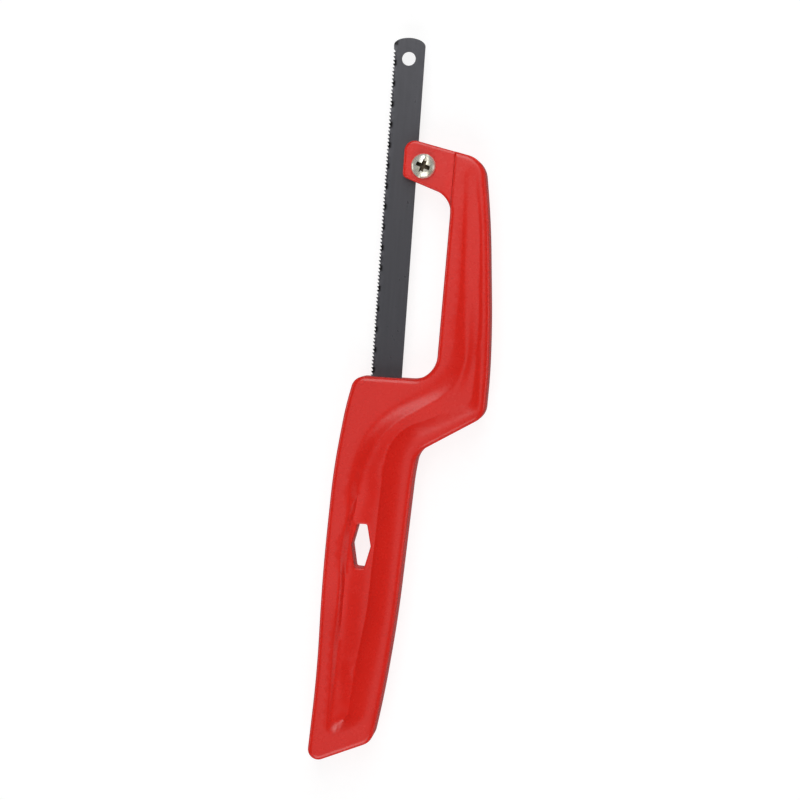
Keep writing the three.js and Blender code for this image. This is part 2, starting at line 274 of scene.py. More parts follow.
def circle(x, y, radius, count=64):
    angles = -np.arange(count) * 2 * math.pi / count
    return np.column_stack([x + radius * np.cos(angles), y + radius * np.sin(angles)])


def inside(points, loop):
    """Whether each point is inside the loop."""
    x, y = points[:, :1], points[:, 1:]
    ax, ay = loop[:, 0], loop[:, 1]
    bx, by = np.roll(ax, -1), np.roll(ay, -1)
    spans = (ay > y) != (by > y)
    rise = np.where(by == ay, 1, by - ay)
    left = x < ax + (y - ay) * (bx - ax) / rise
    return np.count_nonzero(spans & left, axis=1) % 2 == 1


def nearest(points, others):
    """Distance from each point to the nearest of the others."""
    squares = ((points[:, None, :] - others[None, :, :]) ** 2).sum(axis=2)
    return np.sqrt(squares.min(axis=1))


# ---------------------------------------------------------------- surfaces
class Surface:
    """The points and faces of one closed surface, built up from rings of points."""

    def __init__(self):
        self.points = []
        self.faces = []

    def add(self, flat, heights):
        """Adds points and returns their numbers."""
        first = len(self.points)
        heights = np.broadcast_to(heights, len(flat))
        self.points += [(x, y, z) for (x, y), z in zip(flat.tolist(), heights.tolist())]
        return np.arange(first, len(self.points))

    def strip(self, ring, onward):
        """Joins two rings with the same number of points."""
        next_ring, next_onward = np.roll(ring, -1), np.roll(onward, -1)
        quads = np.column_stack([ring, next_ring, next_onward, onward])
        self.faces += quads.tolist()

    def strips(self, rings):
        for ring, onward in zip(rings, rings[1:]):
            self.strip(ring, onward)

    def fan(self, ring, x, y, z):
        """Closes a ring with triangles to one point."""
        centre = len(self.points)
        self.points.append((x, y, z))
        for a, b in zip(ring.tolist(), np.roll(ring, -1).tolist()):
            self.faces.append((a, b, centre))

    def patch(self, outer, holes=(), height=None, spacing=2.0, extra=None):
        """Fills between an outer ring and the rings of any holes with a triangulated grid."""
        numbers = np.concatenate([outer, *holes])
        places = np.array(self.points)
        edge_points = places[numbers, :2]
        free = self.free_points(places, outer, holes, edge_points, spacing, extra)
        if len(free):
            free_heights = height(free)
            numbers = np.concatenate([numbers, self.add(free, free_heights)])
        flat = np.vstack([edge_points, free]) if len(free) else edge_points
        edges = []
        first = 0
        for ring in (outer, *holes):
            count = len(ring)
            edges += [(first + k, first + (k + 1) % count) for k in range(count)]
            first += count
        found = delaunay_2d_cdt([Vector(p) for p in flat], edges, [], 0, 1e-7)
        corners, triangles, sources = found[0], np.array(found[2]), found[3]
        centres = np.array([(p.x, p.y) for p in corners])[triangles].mean(axis=1)
        keep = inside(centres, places[outer, :2])
        for hole in holes:
            keep &= ~inside(centres, places[hole, :2])
        originals = np.array([source[0] for source in sources])
        self.faces += numbers[originals[triangles[keep]]].tolist()

    def free_points(self, places, outer, holes, edge_points, spacing, extra):
        """A grid of points inside the patch, in staggered rows, and any extra points."""
        low, high = places[outer, :2].min(axis=0), places[outer, :2].max(axis=0)
        rows = np.arange(low[1], high[1], spacing * math.sqrt(3) / 2)
        columns = np.arange(low[0], high[0], spacing)
        grid = [(x + (k % 2) * spacing / 2, y) for k, y in enumerate(rows) for x in columns]
        free = np.array(grid)
        margin = np.full(len(free), 0.6 * min(spacing, 1.2))
        if extra is not None:
            free = free[nearest(free, extra) > 0.3]
            free = np.vstack([free, extra])
            margin = np.full(len(free), 0.6 * min(spacing, 1.2))
            margin[-len(extra):] = 0.2
        keep = inside(free, places[outer, :2])
        for hole in holes:
            keep &= ~inside(free, places[hole, :2])
        keep &= nearest(free, edge_points) > margin
        return free[keep]

    def piece(self, name, mirrored=False):
        """The surface as an object in the row frame, with its faces turned outwards."""
        side = -1 if mirrored else 1
        mesh = bpy.data.meshes.new(name)
        scaled = [Vector((x, y, z * side)) * MM + ORIGIN for x, y, z in self.points]
        mesh.from_pydata(scaled, [], self.faces)
        turn_outwards(mesh)
        piece = bpy.data.objects.new(name, mesh)
        bpy.context.scene.collection.objects.link(piece)
        return piece


def turn_outwards(mesh):
    shape = bmesh.new()
    shape.from_mesh(mesh)
    bmesh.ops.recalc_face_normals(shape, faces=shape.faces)
    shape.to_mesh(mesh)
    shape.free()


def smooth(piece, sharp_degrees=32):
    """Shades the piece smoothly, apart from its sharp edges."""
    piece.data.polygons.foreach_set("use_smooth", [True] * len(piece.data.polygons))
    piece.data.set_sharp_from_angle(angle=math.radians(sharp_degrees))


def cut(piece, cutters):
    """Cuts the cutters out of the piece and removes them."""
    for cutter in cutters:
        modifier = piece.modifiers.new("cut", "BOOLEAN")
        modifier.object = cutter
        modifier.operation = "DIFFERENCE"
        modifier.solver = "EXACT"
    bpy.context.view_layer.update()
    ready = piece.evaluated_get(bpy.context.evaluated_depsgraph_get())
    mesh = bpy.data.meshes.new_from_object(ready)
    piece.modifiers.clear()
    old = piece.data
    piece.data = mesh
    bpy.data.meshes.remove(old)
    for cutter in cutters:
        bpy.data.objects.remove(cutter)


def prism(loops, heights):
    """A closed cutter through loops with the same number of points."""
    surface = Surface()
    rings = [surface.add(loop, z) for loop, z in zip(loops, heights)]
    surface.strips(rings)
    surface.faces.append(rings[0].tolist())
    surface.faces.append(rings[-1].tolist())
    return surface.piece("cutter")


def block(x0, x1, y0, y1, z0, z1):
    corners = np.array([(x0, y0), (x0, y1), (x1, y1), (x1, y0)])
    return prism([corners, corners], [z0, z1])


def drill(x, y, radius, z0, z1, count=48):
    loop = circle(x, y, radius, count)
    return prism([loop, loop], [z0, z1])


def countersunk(x, y, radius, seat, surface_z, chamfer=0.25):
    """A hole from its seat out through the surface, with a small chamfer there."""
    side = math.copysign(1, surface_z - seat)
    narrow, wide = circle(x, y, radius), circle(x, y, radius + chamfer)
    heights = [seat, surface_z - side * chamfer, surface_z, surface_z + side * 4]
    return prism([narrow, narrow, wide, wide], heights)


# ---------------------------------------------------------------- frame halves
def fillet(distance, radius):
    """How far a rounded edge has dropped at a distance inwards from it."""
    reach = radius - np.clip(distance, 0, radius)
    return radius - np.sqrt(radius ** 2 - reach ** 2)


def past_step(points):
    """Distance from the pad's step towards the arm."""
    (x0, y0), (x1, y1) = PAD_STEP_LINE
    slope = (x1 - x0) / (y1 - y0)
    return points[:, 0] - (x0 + (points[:, 1] - y0) * slope)


def face_height(points, inset=np.inf):
    """Height of the face, at a distance inwards from the outline, outside the hollow."""
    arm = HALF_THICKNESS - fillet(inset, EDGE_RADIUS) * np.ones(len(points))
    beyond = past_step(points)
    wall = HALF_THICKNESS - fillet(beyond, PAD_STEP_RADIUS) - 9 * np.clip(-beyond, 0, None)
    pad = PAD_HALF_THICKNESS - fillet(inset, PAD_EDGE_RADIUS)
    on_arm = points[:, 1] > HOLLOW_RIM[0][1]
    return np.where(on_arm, np.maximum(np.minimum(arm, wall), pad), arm)


def step_points():
    """Extra points along the pad's step, close together where it bends."""
    (x0, y0), (x1, y1) = PAD_STEP_LINE
    slope = (x1 - x0) / (y1 - y0)
    rows = np.arange(60, 92, 0.5)
    across = [-0.6, -0.35, -0.2, -0.1, 0, 0.1, 0.25, 0.45, 0.7, 1, 1.4, 1.8, 2.3]
    return np.array([(x0 + (y - y0) * slope + dx, y) for y in rows for dx in across])


def rise(u, width):
    """How much of the hollow's soft side has been climbed, u of the way from floor to rim.

    Wide sides climb early and then ease off towards the rim. Narrow ones are straighter.
    """
    wide = np.clip((width - 4) / 3, 0, 1)
    eased = u ** (1 - EARLY_CLIMB * wide)
    soft = eased * eased * (3 - 2 * eased)
    return soft + (eased - soft) * STRAIGHTNESS * (1 - wide)


def floor_height(points, edge, edge_heights):
    """Height of the hollow's floor, blended from the heights along its edge."""
    distances = np.sqrt(((points[:, None, :] - edge[None, :, :]) ** 2).sum(axis=2))
    weights = 1 / (distances + 0.05) ** 3
    return (weights * edge_heights).sum(axis=1) / weights.sum(axis=1)


def frame_side(surface):
    """The outside wall, from the joint up over the rounded edge. Returns the lowest and
    innermost rings."""
    steps = stations(FRAME_OUTLINE)
    outline = rounded(FRAME_OUTLINE, 0, steps)
    rings = [surface.add(rounded(FRAME_OUTLINE, SEAM_CHAMFER, steps), HALF_GAP)]
    for z in (HALF_GAP + SEAM_CHAMFER, HALF_GAP + SEAM_CHAMFER + 0.3, 1.8):
        rings.append(surface.add(outline, z))
    edge_steps = 9
    for k in range(edge_steps + 1):
        inset = EDGE_RADIUS * (1 - math.cos(math.pi / 2 * k / edge_steps))
        loop = rounded(FRAME_OUTLINE, inset, steps)
        rings.append(surface.add(loop, face_height(loop, inset)))
    surface.strips(rings)
    return rings[0], rings[-1]


def hollow_side(surface):
    """The hollow's side, from its rim down to its floor. Returns the rim, the floor's edge
    and that edge's points and heights."""
    steps = stations(HOLLOW_RIM)
    rim = rounded(HOLLOW_RIM, 0, steps)
    foot = rounded(HOLLOW_FLOOR, 0, steps)
    foot_heights = loop_heights(HOLLOW_FLOOR, steps)
    width = np.linalg.norm(rim - foot, axis=1)
    rings = []
    for u in np.linspace(1, 0, 17):
        heights = foot_heights + (HALF_THICKNESS - foot_heights) * rise(u, width)
        rings.append(surface.add(foot + (rim - foot) * u, heights))
    surface.strips(rings)
    return rings[0], rings[-1], foot, foot_heights


def hang_hole_side(surface, height_at):
    """The hang hole, from its rounded lip down to the joint. Returns its two end rings."""
    steps = stations(HANG_HOLE)
    rings = []
    lip_steps = 5
    for k in range(lip_steps + 1):
        angle = math.pi / 2 * k / lip_steps
        loop = rounded(HANG_HOLE, -LIP_RADIUS * (1 - math.sin(angle)), steps)
        heights = height_at(loop) - LIP_RADIUS * (1 - math.cos(angle))
        rings.append(surface.add(loop, heights))
    rings.append(surface.add(loop, HALF_GAP))
    surface.strips(rings)
    return rings[0], rings[-1]


def frame_half(name, mirrored):
    """One moulded half, before its holes for the blade and fasteners."""
    surface = Surface()
    joint_ring, face_ring = frame_side(surface)
    rim_ring, foot_ring, foot, foot_heights = hollow_side(surface)

    def height_at(points):
        return floor_height(points, foot, foot_heights)

    lip_ring, hole_ring = hang_hole_side(surface, height_at)
    surface.patch(face_ring, [rim_ring], face_height, 2.5, step_points())
    surface.patch(foot_ring, [lip_ring], height_at, 1.0)
    surface.patch(joint_ring, [hole_ring], lambda points: HALF_GAP, 6.0)
    return surface.piece(name, mirrored)


def blade_room(side):
    """Cutters for the blade's slot in the grip and in the pad, on one side of the joint."""
    reach = BLADE_WIDTH / 2
    strip_edge = -reach + SET_SLOT_WIDTH
    back = reach + SOCKET_CLEARANCE
    tail = BLADE_TAIL_Y - SOCKET_CLEARANCE
    shallow, deep = SLOT_HALF_DEPTH * side, SET_SLOT_HALF_DEPTH * side
    under = -side
    return [
        block(strip_edge - SLOT_OVERLAP, back, tail, 5, under, shallow),
        block(-reach - SOCKET_CLEARANCE, strip_edge, tail - 0.1, 5.1, under, deep),
        block(-2, back + 10.2, 60, 97, under, shallow * 1.02),
    ]


def front_half(material):
    half = frame_half("frame_front_moulding", False)
    cutters = blade_room(1)
    cutters.append(countersunk(SCREW_X, SCREW_Y, SCREW_HOLE_RADIUS, -1, PAD_HALF_THICKNESS))
    depth = CASE_SCREW_LENGTH - CASE_SEAT_DEPTH + 0.3
    for x, y in CASE_SCREWS.values():
        cutters.append(drill(x, y, CASE_SCREW_RADIUS + 0.15, -1, depth, 24))
    cut(half, cutters)
    finish_piece(half, material, "frame", "red_plastic", "frame_front_half")


def back_half(material):
    half = frame_half("frame_back_moulding", True)
    cutters = blade_room(-1)
    cutters.append(drill(SCREW_X, SCREW_Y, SCREW_HOLE_RADIUS, -9, 1))
    pocket = hexagon_loop(NUT_ACROSS_FLATS / 2 + NUT_POCKET_CLEARANCE)
    wide = hexagon_loop(NUT_ACROSS_FLATS / 2 + NUT_POCKET_CLEARANCE + 0.25)
    pocket_floor = NUT_POCKET_DEPTH - PAD_HALF_THICKNESS
    heights = [pocket_floor, 0.25 - PAD_HALF_THICKNESS, -PAD_HALF_THICKNESS, -12]
    cutters.append(prism([pocket, pocket, wide, wide], heights))
    for x, y in CASE_SCREWS.values():
        cutters.append(drill(x, y, CASE_SCREW_RADIUS + 0.3, -12, 1, 24))
        cutters.append(drill(x, y, CASE_HEAD_RADIUS + 0.3, -12, -CASE_SEAT_DEPTH))
    cut(half, cutters)
    finish_piece(half, material, "frame", "red_plastic", "frame_back_half")


def hexagon_loop(half_across):
    """A hexagon round the clamping screw, with corners towards the blade's tip and tail."""
    corner = half_across / math.cos(math.pi / 6)
    angles = -(np.arange(6) + 0.5) * math.pi / 3
    return np.column_stack([SCREW_X + corner * np.cos(angles), SCREW_Y + corner * np.sin(angles)])


def finish_piece(piece, material, body, slot, *nodes):
    """Shades the piece, gives it its material, unless it has its own, puts it under its body
    and hides the model's parts that it stands in for."""
    smooth(piece)
    if material:
        piece.data.materials.clear()
        piece.data.materials.append(material)
    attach(piece, body)
    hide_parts(*nodes)


# ---------------------------------------------------------------- blade
def blade_outline():
    """The blade's edge, clockwise from its tail, with each tooth's point and gullet."""
    side = BLADE_WIDTH / 2
    points = []
    first, last = BLADE_TAIL_Y + TOOTHLESS_END, BLADE_TIP_Y - TOOTHLESS_END
    teeth = int((last - first) / TOOTH_PITCH)
    profile = [(0.0, 0.82), (0.12, 1.0), (0.3, 0.86), (0.88, 0.05), (0.93, 0.0), (0.955, 0.1)]
    for tooth in range(teeth):
        start = first + tooth * TOOTH_PITCH
        for along, depth in profile:
            points.append((-side + TOOTH_DEPTH * depth, start + along * TOOTH_PITCH))
    end = TOOTHLESS_END - 0.4  # length of each rounded end
    for k in range(25):
        angle = math.pi * (1 - k / 24)
        points.append((side * math.cos(angle), BLADE_TIP_Y - end + end * math.sin(angle)))
    back_rows = np.arange(BLADE_TIP_Y - end - 2, BLADE_TAIL_Y + end + 1, -2)
    points += [(side, y) for y in back_rows]
    for k in range(25):
        angle = -math.pi * k / 24
        points.append((side * math.cos(angle), BLADE_TAIL_Y + end + end * math.sin(angle)))
    return np.array(points)


def tooth_set(points):
    """How far the wavy set carries each point of the blade sideways."""
    wave = np.sin(2 * math.pi * (points[:, 1] - BLADE_TIP_Y) / SET_WAVE)
    start = -BLADE_WIDTH / 2 + SET_DEPTH
    lean = np.clip((start - points[:, 0]) / SET_DEPTH, 0, 1) ** 1.4
    fade_low = np.clip((points[:, 1] - BLADE_TAIL_Y - TOOTHLESS_END) / 3, 0, 1)
    fade_high = np.clip((BLADE_TIP_Y - TOOTHLESS_END - points[:, 1]) / 3, 0, 1)
    return SET_REACH * wave * lean * fade_low * fade_high


def saw_blade(material):
    surface = Surface()
    outline = blade_outline()
    holes = [
        circle(0, BLADE_TIP_Y - HOLE_FROM_END, BLADE_HOLE_RADIUS, 48),
        circle(0, BLADE_TAIL_Y + HOLE_FROM_END, BLADE_HOLE_RADIUS, 48),
    ]
    loops = [outline, *holes]
    half = BLADE_THICKNESS / 2
    rows = np.arange(BLADE_TAIL_Y + 3, BLADE_TIP_Y - 3, TOOTH_PITCH / 3)
    across = [-BLADE_WIDTH / 2 + dx for dx in (1.0, 1.3, 1.7, 2.4)]
    near_teeth = np.array([(x, y) for y in rows for x in across])
    sides = []
    for z in (half, -half):
        sides.append([surface.add(loop, z + tooth_set(loop)) for loop in loops])
        surface.patch(
            sides[-1][0], sides[-1][1:], lambda p, z=z: z + tooth_set(p), 3.0, near_teeth
        )
    for over, under in zip(*sides):
        surface.strip(over, under)
    blade = surface.piece("blade_strip")
    finish_piece(blade, material, "blade", "black_steel", "saw_blade")


# ---------------------------------------------------------------- screws and nut
ROUND = 96  # points round each turned ring


def turned_ring(surface, x, y, radius, z):
    """A level ring round a centre. radius and z may change round it."""
    angles = np.arange(ROUND) * 2 * math.pi / ROUND
    flat = np.column_stack([x + radius * np.cos(angles), y + radius * np.sin(angles)])
    return surface.add(flat, z)


def thread_radius(z, outer, pitch, fade=1.0):
    """Radius round a right-hand thread at a height."""
    angles = np.arange(ROUND) / ROUND
    phase = (z / pitch - angles) % 1
    crest = np.clip(np.abs(phase - 0.5) * 2.6 - 0.15, 0, 1)
    return outer - 0.54 * pitch * crest * fade


def threaded_rings(surface, x, y, low, high, outer, pitch, taper=None):
    """Rings of a thread from low to high. taper gives a factor on the radius at each height."""
    rings = []
    for z in np.arange(low, high, pitch / 10):
        factor = taper(z) if taper else 1.0
        fade = min(1.0, (high - z) / pitch)
        rings.append(turned_ring(surface, x, y, thread_radius(z, outer, pitch, fade) * factor, z))
    return rings


def head_profile(radius, height, under):
    """(radius, z) up round a domed head from its underside."""
    edge = 0.32 * height
    points = [(radius - 0.15, under), (radius, under + 0.15), (radius, under + edge)]
    steps = 14
    for k in range(1, steps):
        angle = math.pi / 2 * k / steps
        reach = radius * math.cos(angle) ** 0.8
        points.append((reach, under + edge + (height - edge) * math.sin(angle) ** 1.15))
    return points


def screw(name, x, y, sizes, side, recess, materials):
    """A threaded screw with its head towards +Z, or towards -Z where side is -1."""
    surface = Surface()
    under, tip = sizes["under"], sizes["under"] - sizes["length"]
    rings = [turned_ring(surface, x, y, sizes["end_radius"], tip)]
    rings += threaded_rings(
        surface, x, y, tip + 0.1, under - 0.5, sizes["radius"], sizes["pitch"], sizes["taper"]
    )
    rings.append(turned_ring(surface, x, y, sizes["radius"], under - 0.3))
    rings.append(turned_ring(surface, x, y, sizes["radius"], under))
    for radius, z in head_profile(sizes["head_radius"], sizes["head_height"], under):
        rings.append(turned_ring(surface, x, y, radius, z))
    surface.strips(rings)
    surface.fan(rings[0], x, y, tip)
    surface.fan(rings[-1], x, y, under + sizes["head_height"])
    piece = surface.piece(name, side < 0)
    cutters = recess(x, y, under + sizes["head_height"], side)
    for shape in (piece, *cutters):
        shape.data.materials.append(materials[0])
        shape.data.materials.append(materials[1])
    cut(piece, cutters)
    return piece


def tapered_block(x, y, length, width, depth, z, angle, side):
    """A tapering slot cutter, length along its own X, that reaches depth down from z."""
    loops = []
    for grow in (0.72, 1.0, 1.12):
        half_length, half_width = length / 2 * grow, width / 2 * grow
        corners = [(-half_length, -half_width), (-half_length, half_width),
                   (half_length, half_width), (half_length, -half_width)]
        turn = Matrix.Rotation(angle, 2)
        loops.append(np.array([Vector((x, y)) + turn @ Vector(c) for c in corners]))
    heights = [(z - depth) * side, (z - 0.05) * side, (z + 1) * side]
    return prism(loops, heights)


def combination_recess(x, y, top, side):
    """A plain slot right across the head and a cross recess in its middle."""
    angle = math.pi / 2 + DRIVE_TURN
    length, low = 2 * HEAD_RADIUS + 2, top - DRIVE_SLOT_DEPTH
    slot = turned_block(x, y, length, DRIVE_SLOT_WIDTH, low, top + 1, angle, side)
    return [slot, *cross_bars(x, y, top, DRIVE_CROSS, angle, side)]


def turned_block(x, y, length, width, low, high, angle, side):
    """A straight-sided slot cutter, length along its own X."""
    turn = Matrix.Rotation(angle, 2)
    corners = [(-length / 2, -width / 2), (-length / 2, width / 2),
               (length / 2, width / 2), (length / 2, -width / 2)]
    loop = np.array([Vector((x, y)) + turn @ Vector(c) for c in corners])
    return prism([loop, loop], [low * side, high * side])


def cross_recess(x, y, top, side):
    return cross_bars(x, y, top, CASE_CROSS, CASE_CROSS_TURN, side)


def cross_bars(x, y, top, bar, angle, side):
    """The two cutters of a cross. The faces that they leave get the second material."""
    length, width, depth = bar
    bars = [
        tapered_block(x, y, length, width, depth, top, angle + turn, side)
        for turn in (0, math.pi / 2)
    ]
    for cutter in bars:
        for polygon in cutter.data.polygons:
            polygon.material_index = 1
    return bars


def clamp_screw(materials):
    sizes = {
        "under": PAD_HALF_THICKNESS + HEAD_GAP,
        "length": SCREW_LENGTH,
        "radius": SCREW_RADIUS,
        "end_radius": SCREW_RADIUS - 0.6,
        "pitch": THREAD_PITCH,
        "taper": None,
        "head_radius": HEAD_RADIUS,
        "head_height": HEAD_HEIGHT,
    }
    piece = screw(
        "clamp_screw_detail", SCREW_X, SCREW_Y, sizes, 1, combination_recess, materials
    )
    finish_piece(piece, None, "clamp_screw", "zinc_steel", "clamp_screw")


def case_screws(materials):
    under = CASE_SEAT_DEPTH + HEAD_GAP
    tip = under - CASE_SCREW_LENGTH

    def pointed(z):
        return min(1.0, 0.45 + 0.55 * (z - tip) / 2.2)

    sizes = {
        "under": under,
        "length": CASE_SCREW_LENGTH,
        "radius": CASE_SCREW_RADIUS,
        "end_radius": 0.3,
        "pitch": CASE_SCREW_PITCH,
        "taper": pointed,
        "head_radius": CASE_HEAD_RADIUS,
        "head_height": CASE_HEAD_HEIGHT,
    }
    for node, (x, y) in CASE_SCREWS.items():
        piece = screw(node + "_detail", x, y, sizes, -1, cross_recess, materials)
        finish_piece(piece, None, "frame", "zinc_steel", node)


def clamp_nut(material):
    """A hexagonal nut with chamfered corners and a threaded bore."""
    low_z = (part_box("clamp_nut")[0].z - ORIGIN.z) / MM
    high_z = low_z + NUT_THICKNESS
    angles = np.arange(ROUND) * 2 * math.pi / ROUND
    flat = NUT_ACROSS_FLATS / 2
    hexagon = flat / np.cos((angles + math.pi / 6) % (math.pi / 3) - math.pi / 6)
    chamfer_start = flat * 0.96
    drop = np.clip(hexagon - chamfer_start, 0, None) * math.tan(math.radians(30))
    surface = Surface()
    rings = []
    bore = NUT_BORE_RADIUS + 0.3
    for z in np.arange(low_z + 0.3, high_z - 0.3, THREAD_PITCH / 10):
        phase = (z / THREAD_PITCH - angles / (2 * math.pi)) % 1
        depth = np.clip(np.abs(phase - 0.5) * 2.6 - 0.15, 0, 1) * 0.3
        rings.append(turned_ring(surface, SCREW_X, SCREW_Y, bore - depth, z))
    for radius, z in (
        (bore + 0.25, high_z),
        (chamfer_start, high_z),
        (hexagon, high_z - drop),
        (hexagon, low_z + drop),
        (chamfer_start, low_z),
        (bore + 0.25, low_z),
    ):
        rings.append(turned_ring(surface, SCREW_X, SCREW_Y, radius, z))
    surface.strips(rings + rings[:1])
    piece = surface.piece("clamp_nut_detail")
    finish_piece(piece, material, "clamp_nut", "zinc_steel", "clamp_nut")


# ---------------------------------------------------------------- materials
class Nodes:
    """Short calls for building a material's node tree."""

    def __init__(self, name):
        self.material = bpy.data.materials.new(name)
        self.material.use_nodes = True
        self.tree = self.material.node_tree
        self.shader = self.tree.nodes["Principled BSDF"]
        self.place = self.tree.nodes.new("ShaderNodeTexCoord").outputs["Object"]

    def link(self, output, target):
        self.tree.links.new(output, target)

    def noise(self, scale, detail=2.0, roughness=0.5, stretch=(1, 1, 1)):
        mapping = self.tree.nodes.new("ShaderNodeMapping")
        mapping.inputs["Scale"].default_value = stretch
        self.link(self.place, mapping.inputs["Vector"])
        noise = self.tree.nodes.new("ShaderNodeTexNoise")
        noise.inputs["Scale"].default_value = scale
        noise.inputs["Detail"].default_value = detail
        noise.inputs["Roughness"].default_value = roughness
        self.link(mapping.outputs["Vector"], noise.inputs["Vector"])
        return noise.outputs["Fac"]

    def spread(self, value, low, high, to_low, to_high):
        node = self.tree.nodes.new("ShaderNodeMapRange")
        for name, number in (
            ("From Min", low), ("From Max", high), ("To Min", to_low), ("To Max", to_high)
        ):
            node.inputs[name].default_value = number
        self.link(value, node.inputs["Value"])
        return node.outputs["Result"]

    def ramp(self, value, stops):
        node = self.tree.nodes.new("ShaderNodeValToRGB")
        while len(node.color_ramp.elements) < len(stops):
            node.color_ramp.elements.new(0.5)
        for element, (position, colour) in zip(node.color_ramp.elements, stops):
            element.position = position
            element.color = (*colour, 1)
        self.link(value, node.inputs["Fac"])
        return node.outputs["Color"]

    def bump(self, height, distance, strength=1.0):
        node = self.tree.nodes.new("ShaderNodeBump")
        node.inputs["Strength"].default_value = strength
        node.inputs["Distance"].default_value = distance
        self.link(height, node.inputs["Height"])
        return node.outputs["Normal"]

    def math(self, operation, a, b):
        node = self.tree.nodes.new("ShaderNodeMath")
        node.operation = operation
        for value, target in zip((a, b), node.inputs):
            if isinstance(value, (int, float)):
                target.default_value = value
            else:
                self.link(value, target)
        return node.outputs["Value"]

    def axis(self, letter):
        node = self.tree.nodes.new("ShaderNodeSeparateXYZ")
        self.link(self.place, node.inputs["Vector"])
        return node.outputs[letter]

    def set(self, name, value):
        target = self.shader.inputs[name]
        if isinstance(value, bpy.types.NodeSocket):
            self.link(value, target)
        else:
            target.default_value = value


def red_plastic():
    """Glossy moulded plastic with faint flow marks, a slightly wavy skin and light wear."""
    n = Nodes("glossy_red_plastic")
    flow = n.noise(45, 3, 0.55, (1, 0.5, 1))
    n.set("Base Color", n.ramp(flow, [
        (0.3, (0.73, 0.0165, 0.0092)),
        (0.55, (0.77, 0.0195, 0.0115)),
        (0.75, (0.8, 0.024, 0.015)),
    ]))
    wear = n.noise(260, 4, 0.65)
    n.set("Roughness", n.spread(wear, 0.3, 0.75, 0.24, 0.31))
    n.set("IOR", 1.5)
    n.set("Normal", n.bump(n.noise(80, 1, 0.4), 0.0004, 0.2))
    return n.material


def black_steel():
    """Blackened strip steel, a little mottled, with a paler, mottled band of painted sheen behind
    the teeth.

    Where the set leans the teeth away, painted shade makes them nearly black.
    """
    n = Nodes("blackened_blade_steel")
    rolled = n.noise(700, 3, 0.6, (1, 0.06, 1))
    mottle = n.noise(420, 4, 0.6, (1, 0.6, 1))
    tooth_side = n.spread(n.axis("X"), ORIGIN.x - 0.0056, ORIGIN.x - 0.0030, 1, 0)
    # painted sheen: a paler, mottled band behind the teeth
    painted_sheen = n.math("MULTIPLY", tooth_side, n.spread(mottle, 0.42, 0.62, 0, 1))
    tone = n.math("ADD", n.math("MULTIPLY", painted_sheen, 0.4), n.math("MULTIPLY", rolled, 0.4))
    along = n.math("SUBTRACT", n.axis("Y"), ORIGIN.y + BLADE_TIP_Y * MM)
    wave = n.math("SINE", n.math("MULTIPLY", along, 2 * math.pi / (SET_WAVE * MM)), 0)
    # painted shade: the teeth's points go nearly black where the set leans them away
    painted_shade_mask = n.spread(wave, -0.35, -0.8, 0, 1)
    at_edge = n.spread(n.axis("X"), ORIGIN.x - 0.0047, ORIGIN.x - 0.0038, 1, 0)
    painted_shade_factor = n.math("SUBTRACT", 1, n.math("MULTIPLY", painted_shade_mask, at_edge))
    # base colour with the painted sheen and the teeth's painted shade mixed in
    n.set("Base Color", n.ramp(n.math("MULTIPLY", n.math("ADD", tone, 0.1), painted_shade_factor), [
        (0.0, (0.004, 0.004, 0.005)),
        (0.2, (0.058, 0.058, 0.067)),
        (0.45, (0.07, 0.07, 0.08)),
        (1.0, (0.12, 0.12, 0.13)),
    ]))
    n.set("Metallic", 0.35)
    n.set("Roughness", n.spread(mottle, 0.3, 0.7, 0.27, 0.38))
    n.set("Normal", n.bump(mottle, 0.00003, 0.35))
    return n.material


def zinc_steel():
    """Bright zinc plate with a faint yellow-green tint and fine turning marks."""
    n = Nodes("bright_zinc_plate")
    tint = n.noise(350, 2, 0.5)
    n.set("Base Color", n.ramp(tint, [
        (0.3, (0.8, 0.76, 0.6)),
        (0.5, (0.9, 0.88, 0.76)),
        (0.7, (0.88, 0.9, 0.82)),
    ]))
    n.set("Metallic", 0.6)
    marks = n.noise(4000, 2, 0.6)
    n.set("Roughness", n.spread(marks, 0.3, 0.7, 0.18, 0.34))
    n.set("Normal", n.bump(marks, 0.00002, 0.4))
    return n.material


def painted_shade_recess_steel():
    """Dull steel inside a screw's recess, darkened with painted shade."""
    n = Nodes("painted_shade_in_recess")
    shade_mottle = n.noise(1500, 3, 0.6)
    # painted shade: dark brown to near black inside the recess
    n.set("Base Color", n.ramp(shade_mottle, [(0.35, (0.06, 0.045, 0.028)), (0.7, (0.2, 0.16, 0.1))]))
    n.set("Metallic", 0.6)
    n.set("Roughness", 0.6)
    return n.material


def floor_paper():
    """A pale sweep that is lit from behind as well, so that shadows on it stay faint."""
    n = Nodes("pale_paper")
    fibres = n.noise(300, 4, 0.6)
    n.set("Base Color", n.ramp(fibres, [(0.3, (0.21, 0.21, 0.21)), (0.7, (0.23, 0.23, 0.23))]))
    n.set("Roughness", 0.95)
    n.set("Specular IOR Level", 0.0)
    n.set("Emission Color", (1, 1, 1, 1))
    n.set("Emission Strength", 0.84)
    return n.material


# ---------------------------------------------------------------- floor, lights and camera
FLOOR_REACH = 3.0
FLOOR_GAP = 0.0004  # under the saw


def floor(material):
    reach = FLOOR_REACH
    corners = [(-reach, -reach, 0), (reach, -reach, 0), (reach, reach, 0), (-reach, reach, 0)]
    mesh = bpy.data.meshes.new("floor")
    mesh.from_pydata(corners, [], [(0, 1, 2, 3)])
    mesh.materials.append(material)
    sheet = bpy.data.objects.new("floor", mesh)
    bpy.context.scene.collection.objects.link(sheet)
    sheet.location.z = cad_bounds[0][2] - FLOOR_GAP
    sheet.visible_glossy = False  # or the saw's side walls mirror it and turn white


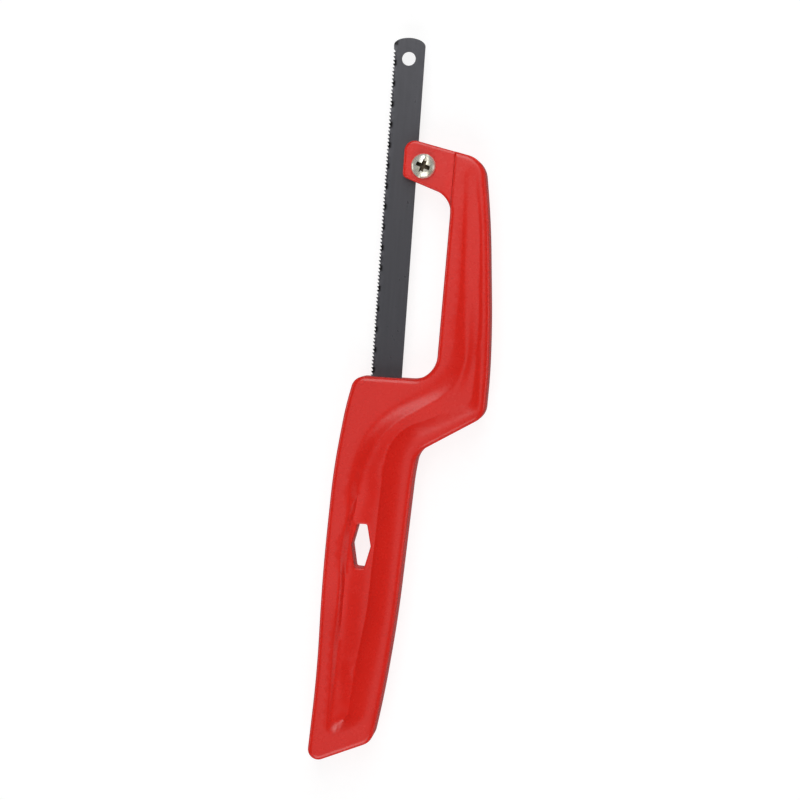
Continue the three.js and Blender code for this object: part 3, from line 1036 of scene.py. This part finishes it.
def softbox(name, azimuth, elevation, width, height, radiance, distance=1.6):
    """A rectangular light that faces the saw. azimuth 0 is +X and 90 is +Y."""
    azimuth, elevation = math.radians(azimuth), math.radians(elevation)
    towards = Vector((
        math.cos(elevation) * math.cos(azimuth),
        math.cos(elevation) * math.sin(azimuth),
        math.sin(elevation),
    ))
    light = bpy.data.lights.new(name, "AREA")
    light.shape = "RECTANGLE"
    light.size, light.size_y = width, height
    light.energy = radiance * math.pi * width * height
    lamp = bpy.data.objects.new(name, light)
    bpy.context.scene.collection.objects.link(lamp)
    lamp.location = towards * distance
    lamp.rotation_euler = towards.to_track_quat("Z", "Y").to_euler()


def lights():
    """Two long boxes at the saw's ends, and weaker ones over it and at its sides.

    Slopes that face the saw's sides reflect the dark room between the boxes.
    """
    softbox("overhead", 180, 81.5, 1.0, 0.43, 0.75)
    softbox("far_end", 90, 46, 0.62, 1.3, 3.25, 1.1)
    softbox("near_end", 270, 40, 1.3, 1.4, 2.65)
    softbox("left", 180, 3, 0.8, 0.5, 2.0)
    softbox("right", 0, 10, 0.8, 0.9, 1.1)


def room():
    """The dim room round the lights, brighter below, where the saw's side walls mirror it."""
    world = bpy.data.worlds.new("studio")
    world.use_nodes = True
    tree = world.node_tree
    background = tree.nodes["Background"]
    background.inputs["Color"].default_value = (1, 1, 1, 1)
    place = tree.nodes.new("ShaderNodeTexCoord")
    split = tree.nodes.new("ShaderNodeSeparateXYZ")
    glow = tree.nodes.new("ShaderNodeMapRange")
    for name, value in (
        ("From Min", -0.3), ("From Max", 0.1), ("To Min", 0.14), ("To Max", 0.05)
    ):
        glow.inputs[name].default_value = value
    tree.links.new(place.outputs["Generated"], split.inputs["Vector"])
    tree.links.new(split.outputs["Z"], glow.inputs["Value"])
    tree.links.new(glow.outputs["Result"], background.inputs["Strength"])
    bpy.context.scene.world = world
    bpy.context.scene.view_settings.view_transform = "Standard"


CAMERA_PLACE = (89.3, 37.13, 874)
CAMERA_ROLL = math.radians(4.2439)
CAMERA_LENS = 103.4666
CAMERA_TILT = (0.099, 0.045)  # how far the view leans off the saw's face, across and up


def camera():
    """A long lens about 0.87 m above the face, a little to the arm's side."""
    rolled = Matrix.Rotation(CAMERA_ROLL, 3, "Z").transposed()
    face = Vector((-CAMERA_TILT[0], -CAMERA_TILT[1], 1)).normalized()
    lean = Vector((0, 0, 1)).rotation_difference(face).to_matrix()
    aim = (lean @ rolled).transposed().to_4x4()
    data = bpy.data.cameras.new("photo_camera")
    data.sensor_width = 36
    data.lens = CAMERA_LENS
    data.clip_start = 0.01
    shooter = bpy.data.objects.new("photo_camera", data)
    bpy.context.scene.collection.objects.link(shooter)
    place = Vector(CAMERA_PLACE) * MM + ORIGIN
    shooter.matrix_world = Matrix.Translation(place) @ aim
    bpy.context.scene.camera = shooter


# ---------------------------------------------------------------- the scene
camera()
lights()
room()
floor(floor_paper())
plastic = red_plastic()
zinc = zinc_steel()
front_half(plastic)
back_half(plastic)
saw_blade(black_steel())
recess = painted_shade_recess_steel()
clamp_screw([zinc, recess])
clamp_nut(zinc)
case_screws([zinc, recess])
